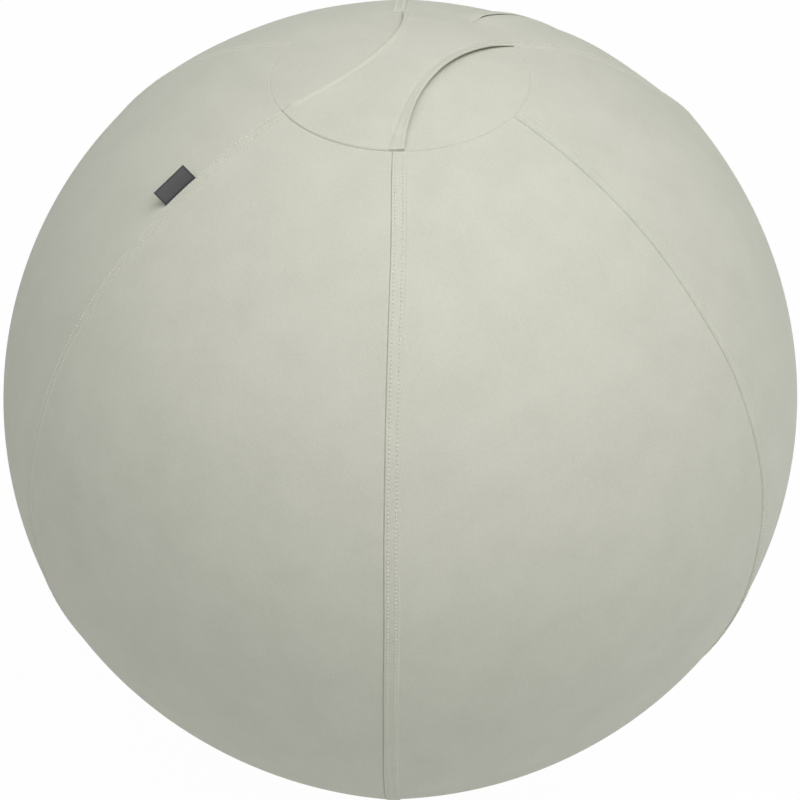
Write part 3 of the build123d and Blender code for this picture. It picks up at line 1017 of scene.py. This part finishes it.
def makeLabel():
    # Ribbon folded in two: a hairpin profile of two layers and a half round, bent along an arc that leans
    # over to the left, and carried straight along the join
    hinge = np.array(jointRows["label_flip"]["pos_m"]) - centre
    polar = np.array(math.acos(hinge[2] / np.linalg.norm(hinge)))
    azimuth = joinAzimuth(labelLine, polar) - label["beside"] / (roundRadius * np.sin(polar))
    foot = coverPoint(polar, azimuth)
    up = outward(polar, azimuth)
    down = outward(polar + math.pi / 2, azimuth)
    leftwards = np.cross(down, up)
    upSteps, foldSteps, lengthSteps = label["steps"]
    turnRadius = label["cloth"] * label["turn"]
    top = label["depth"] - turnRadius
    layer = np.linspace(-label["foot"], top, upSteps)
    angle = np.linspace(-math.pi / 2, math.pi / 2, foldSteps + 2)[1:-1]
    height = np.concatenate([layer, top + turnRadius * np.cos(angle), layer[::-1]])
    side = turnRadius * np.concatenate([np.full(upSteps, -1), np.sin(angle), np.full(upSteps, 1)])
    share = np.clip(height / label["depth"], 0, 1)
    side[upSteps + foldSteps:] += (label["puff"] * np.sin(math.pi * share))[upSteps + foldSteps:]
    flatRun = np.concatenate([[0], np.cumsum(np.hypot(np.diff(height), np.diff(side)))])
    length = np.linspace(0, label["length"], lengthSteps)
    tangent = unit(np.stack([np.gradient(height), np.gradient(side)], -1))
    apart = np.stack([-tangent[:, 1], tangent[:, 0]], -1) * label["cloth"] / 2

    def place(offset):
        # Height runs along an arc whose slope goes evenly from the foot's lean to the fold's
        start, end = np.radians(label["lean"])
        turns, begin = label["warpWave"]
        reach = (height + offset[:, 0])[:, None]
        slope = start + (end - start) * np.clip(reach / label["depth"], 0, 1)
        rate = (end - start) / label["depth"]
        below = np.minimum(reach, 0)
        left = (np.sin(slope) - math.sin(start)) / rate + below * math.cos(start)
        rise = (math.cos(start) - np.cos(slope)) / rate + below * math.sin(start)
        wave = np.sin(length / label["length"] * turns + begin)[None, :]
        out = (side + offset[:, 1])[:, None] + label["warp"] * wave * share[:, None] ** 2
        left, rise = left - out * np.sin(slope), rise + out * np.cos(slope)
        step = np.broadcast_to(length - label["length"] / 2, left.shape)
        return foot + step[..., None] * down + left[..., None] * leftwards + rise[..., None] * up

    flat = np.stack(np.broadcast_arrays(flatRun[:, None], length[None, :]), -1)
    piece = makeShell("label_ribbon", place(-apart), place(apart), flat, "label_weave", turned=True,
                      body=None, stands=["label_tab"])
    lean = math.radians(label["lean"][0])
    away = leftwards * math.cos(lean) + up * math.sin(lean)
    tuple(foot + away * label["bend"])
    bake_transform(piece)
    2 * (label["depth"] + label["foot"])


makeLabel()
print("label made")


# Zip

zipChain = {
    "low": 324.3 * mm,  # radii from the ball's centre
    "high": 325.45 * mm,
    "under": 0.1 * mm,  # room below the lips
    "from": 16.0 * mm,  # lengths from the crown's seam
    "to": 416.0 * mm,
    "pitch": 4.0 * mm,
    "tooth": 1.5 * mm,
    "hook": 0.9 * mm,  # how far each tooth reaches past the zip's middle
    "shoulders": (-0.4 * mm, 1.6 * mm),  # where its full section starts and ends
    "root": 2.7 * mm,
    "girths": (0.55, 1.0, 1.0, 0.8),  # shares of the full section from the hook to the root
    "dome": 0.1 * mm,  # of both its ends
    "sides": 8,
    "tape": (2.0 * mm, 12.15 * mm),  # from the zip's middle
    "tapeTop": 325.4 * mm,
    "tapeCloth": 0.4 * mm,
    "tapeEnds": (10.0 * mm, 438.0 * mm),
    "tapeSteps": (160, 12),
    "retainer": (7.5 * mm, 14.0 * mm),
    "retainerHalf": 2.4 * mm,
    "retainerRadii": (323.35 * mm, 325.2 * mm),
}


def zipPoint(along, across, radius):
    # Point beside the zip: length down it, distance to larger azimuths and radius from the ball's centre
    polar = crownPolar + along / roundRadius
    azimuth = zipAzimuth + across / (radius * np.sin(polar))
    return centre + outward(polar, azimuth) * radius[..., None]


def roomUnder(fromMiddle, along, near):
    # Radius up to which there is room under a lip: its inner face's, less the clearance
    polar = crownPolar + along / roundRadius
    azimuth = zipAzimuth + (-1 if near else 1) * fromMiddle / (roundRadius * np.sin(polar))
    lift = lipLift(fromMiddle, fromMiddle - zipLips["slit"] + zipLips["rollReach"], along, near)
    return coverShape(polar, azimuth) + lift - lipCloth(fromMiddle, along) - zipChain["under"]


def makeTeeth(name, node, sign):
    # Tooth: an eight-cornered bar across the zip, narrower at its hook, repeated down the chain
    sides = zipChain["sides"]
    angle = np.linspace(0, math.tau, sides, endpoint=False) + math.pi / sides
    stations = np.array([-zipChain["hook"], *zipChain["shoulders"], zipChain["root"]])
    girth = np.array(zipChain["girths"])[:, None]
    ring = np.broadcast_arrays(girth * np.cos(angle), stations[:, None], girth * np.sin(angle))
    tips = [[0, stations[0] - zipChain["dome"], 0], [0, stations[-1] + zipChain["dome"], 0]]
    form = np.concatenate([np.stack(ring, -1).reshape(-1, 3), tips])
    places = np.arange(zipChain["from"], zipChain["to"], zipChain["pitch"])
    places = places + (sign + 1) / 4 * zipChain["pitch"]
    high = np.minimum(zipChain["high"], roomUnder(zipChain["tape"][0], places, sign < 0))
    along = places[:, None] + form[None, :, 0] * zipChain["tooth"] / 2
    half = (high - zipChain["low"])[:, None] / 2
    radius = zipChain["low"] + half + form[None, :, 2] * half
    points = zipPoint(along, np.broadcast_to(sign * form[None, :, 1], along.shape), radius).reshape(-1, 3)
    faces = [kind[:, ::sign] for kind in closedTube(len(stations), sides)]
    polygons = repeatFaces(faces, len(places), len(form))
    makePiece(name, points, polygons, "zip_nylon", stands=[node])


def makeZipTape(name, node, sign):
    # Strip beside the chain, following the lips' inner face where that is lower
    rows, columns = zipChain["tapeSteps"]
    along = np.linspace(*zipChain["tapeEnds"], rows)[:, None]
    across = np.linspace(*zipChain["tape"], columns)[None, :]
    along, across = np.broadcast_arrays(along, across)
    top = np.minimum(zipChain["tapeTop"], roomUnder(across, along, sign < 0))
    outer = zipPoint(along, sign * across, top)
    inner = zipPoint(along, sign * across, top - zipChain["tapeCloth"])
    piece = makeShell(name, outer, inner, np.stack([across, along], -1), "zip_tape", turned=sign < 0,
                      stands=[node])


zipSlider = {
    "half": 5.5 * mm,
    "width": 3.4 * mm,  # half of it
    "lower": (323.6 * mm, 324.1 * mm),  # radii of its two plates
    "upper": (325.5 * mm, 325.9 * mm),
    "post": (1.2 * mm, 0.6 * mm),
    "postAt": 2.75 * mm,
    "corner": 0.4,  # power of a plate's outline, less for squarer corners
    "face": 0.86,  # size of its faces, in shares of the outline
    "edge": 0.25,  # share of the thickness that each rounded edge takes
    "bailHalf": 3.0 * mm,
    "bailTop": 330.4 * mm,
    "bailThick": 0.62 * mm,  # half of it
    "bailCorner": 0.55,
    "bailOval": 0.8,
}


def squarish(values, power):
    # Sine or cosine raised to a power that keeps its sign, which squares a circle's corners
    return np.sign(values) * np.abs(values) ** power


def plateForm(halfLength, halfWidth, sides=28):
    # Plate with rounded corners and edges: a superellipse outline on four rings, drawn in at both faces;
    # heights run from 0 to 1
    angle = np.linspace(0, math.tau, sides, endpoint=False)
    outline = np.stack([halfLength * squarish(np.cos(angle), zipSlider["corner"]),
                        halfWidth * squarish(np.sin(angle), zipSlider["corner"])], -1)
    scale = np.array([zipSlider["face"], 1.0, 1.0, zipSlider["face"]])
    heights = np.array([0.0, zipSlider["edge"], 1 - zipSlider["edge"], 1.0])
    level = (scale[:, None, None] * outline[None]).reshape(-1, 2)
    points = np.concatenate([np.column_stack([level, np.repeat(heights, sides)]), [[0, 0, 0], [0, 0, 1]]])
    quads, fans = closedTube(len(scale), sides)
    return points, quads[:, ::-1], fans[:, ::-1]


def bailForm(half, rise, thick, count=25, sides=10):
    # Arch of wire: a superellipse path in the zip's plane, with an oval section turned along it
    turn = np.linspace(0, math.pi, count)
    path = np.stack([half * squarish(np.cos(turn), zipSlider["bailCorner"]),
                     rise * np.sin(turn) ** zipSlider["bailCorner"]], -1)
    tangent = unit(np.gradient(path, axis=0))
    normal = np.stack([tangent[:, 1], -tangent[:, 0]], -1)
    angle = np.linspace(0, math.tau, sides, endpoint=False)
    ring = path[:, None] + normal[:, None] * (thick * zipSlider["bailOval"] * np.cos(angle))[None, :, None]
    cross = np.broadcast_to(thick * np.sin(angle), (count, sides))
    points = np.concatenate([np.stack([ring[..., 0], cross, ring[..., 1]], -1).reshape(-1, 3),
                             [[path[0, 0], 0, path[0, 1]], [path[-1, 0], 0, path[-1, 1]]]])
    quads, fans = closedTube(count, sides)
    return points, quads[:, ::-1], fans[:, ::-1]


def makeRetainer():
    # Wedge that joins both rows at the crown's end, rising with the lips
    start, end = zipChain["retainer"]
    points, quads, fans = plateForm((end - start) / 2, zipChain["retainerHalf"])
    along = points[:, 0] + (start + end) / 2
    low, high = zipChain["retainerRadii"]
    top = np.minimum(high, roomUnder(zipChain["tape"][0], along, True))
    spot = zipPoint(along, points[:, 1], low + (top - low) * points[:, 2])
    makePiece("zip_clamp", spot, [quads, fans], "zip_metal", stands=["zip_retainer"])


def makeSlider():
    # Two plates with a post between them, and the bail's arch standing on the upper one
    pivot = np.array(jointRows["pull_flip"]["pos_m"]) - centre
    middle = roundRadius * (math.acos(pivot[2] / np.linalg.norm(pivot)) - crownPolar)
    plate = (zipSlider["half"], zipSlider["width"])
    foot, top = zipSlider["upper"]
    forms = []
    for size, shift, low, high in ((plate, 0, *zipSlider["lower"]), (plate, 0, foot, top),
                                   (zipSlider["post"], zipSlider["postAt"], zipSlider["lower"][0], top)):
        points, quads, fans = plateForm(*size)
        forms.append((points * [1, 1, high - low] + [shift, 0, low], quads, fans))
    rise = zipSlider["bailTop"] - foot
    points, quads, fans = bailForm(zipSlider["bailHalf"], rise, zipSlider["bailThick"])
    forms.append((points + [0, 0, foot], quads, fans))
    starts = np.cumsum([0] + [len(form[0]) for form in forms])
    spot = np.concatenate([form[0] for form in forms])
    polygons = [np.concatenate([form[kind] + first for form, first in zip(forms, starts)])
                for kind in (1, 2)]
    makePiece("slider_body", zipPoint(middle + spot[:, 0], spot[:, 1], spot[:, 2]), polygons, "zip_metal",
              body="slider", stands=["zip_slider"])


for side, sign in (("a", -1), ("b", 1)):
    makeTeeth("teeth_row_" + side, "zip_teeth_" + side, sign)
    makeZipTape("zip_ribbon_" + side, "zip_tape_" + side, sign)
makeRetainer()
makeSlider()
print("zip made")

# Carried-over nodes take their finishes
carried = {
    "inner_ball": "ball_vinyl", "valve_seat": "valve_plastic", "valve_plug": "valve_plastic",
    "zip_end_stops": "zip_metal", "zip_pull": "zip_metal",
}
for nodeName, slotName in carried.items():
    node = frame["nodes"][nodeName]
    if not node.material_slots:
        node.data.materials.append(None)
    for place in node.material_slots:
        place.material = finishes[slotName]


# Room, light and camera

studio = {
    "floorHalf": 6.0,
    "floor": shade(243, 243, 243),
    "floorWhite": 0.98,  # share of plain white that the camera sees on the floor, the rest being lit floor
    "sky": 0.237,
    "lamps": [((1.05, -0.9, 3.1), 2.6, 61.5), ((-1.3, -0.9, 3.0), 2.6, 23.0)],  # place, width, power
    "elevation": 40.2,
    "distance": 5.77,  # from the ball's centre, in its radii
    "focal": 2262.0,  # pixels of the 800 pixel frame
    "frame": 800,
    "sensor": 36.0,
    "shift": (0.0, -3.3),  # pixels
}


def seenRays(start):
    # 1 for what the camera sees, also in a mirror or through glass, and 0 for light that bounces
    rays = start.node("ShaderNodeLightPath").socket.node.outputs
    camera, glossy, through = (Wire(start.tree, rays["Is " + kind + " Ray"])
                               for kind in ("Camera", "Glossy", "Transmission"))
    return camera + glossy + through


def makeFloor():
    # One wide face on the level. The camera sees it partly as plain white, and it keeps the shadow.
    reach = studio["floorHalf"]
    corners = [(x * reach, y * reach, 0) for x, y in ((-1, -1), (1, -1), (1, 1), (-1, 1))]
    mesh = bpy.data.meshes.new("studioFloor")
    mesh.from_pydata(corners, [], [(0, 1, 2, 3)])
    material, shader, start = newMaterial("studioFloor", Base_Color=studio["floor"], Roughness=0.9,
                                          Specular_IOR_Level=0.1)
    white = start.node("ShaderNodeEmission", values={"Strength": 1.0})
    lit = Wire(start.tree, shader.outputs[0])
    share = seenRays(start) * studio["floorWhite"]
    mixed = start.node("ShaderNodeMixShader", values={0: share, 1: lit, 2: white})
    feed(material.node_tree.nodes["Material Output"], Surface=mixed)
    mesh.materials.append(material)
    floor = bpy.data.objects.new("studioFloor", mesh)
    bpy.context.scene.collection.objects.link(floor)


def makeLight():
    # Even sky from a white room, and wide soft lamps above and in front, the stronger one on the right
    world = bpy.data.worlds.new("studio")
    bpy.context.scene.world = world
    world.use_nodes = True
    background = world.node_tree.nodes["Background"]
    background.inputs["Color"].default_value = (1, 1, 1, 1)
    feed(background, Strength=seenRays(Wire(world.node_tree)) * (1.0 - studio["sky"]) + studio["sky"])
    for place, width, power in studio["lamps"]:
        lamp = bpy.data.lights.new("softLamp", "AREA")
        lamp.shape = "DISK"
        lamp.size = width
        lamp.energy = power
        holder = bpy.data.objects.new("softLamp", lamp)
        bpy.context.scene.collection.objects.link(holder)
        aim = np.array(place) - centre
        tilt = math.acos(aim[2] / np.linalg.norm(aim))
        holder.location = place
        holder.rotation_euler = (tilt, 0, math.atan2(aim[1], aim[0]) + math.pi / 2)


def makeCamera():
    # Long lens looking down at the ball's centre from the front
    lens = bpy.data.cameras.new("camera")
    lens.sensor_width = studio["sensor"]
    lens.lens = studio["sensor"] * studio["focal"] / studio["frame"]
    lens.shift_x = studio["shift"][0] / studio["frame"]
    lens.shift_y = studio["shift"][1] / studio["frame"]
    camera = bpy.data.objects.new("camera", lens)
    bpy.context.scene.collection.objects.link(camera)
    rise = math.radians(studio["elevation"])
    away = np.array([0, -math.cos(rise), math.sin(rise)]) * studio["distance"] * roundRadius
    camera.location = centre + away
    camera.rotation_euler = (math.pi / 2 - rise, 0, 0)
    bpy.context.scene.camera = camera


makeFloor()
makeLight()
makeCamera()
bpy.context.scene.view_settings.view_transform = "Standard"
print("studio ready")
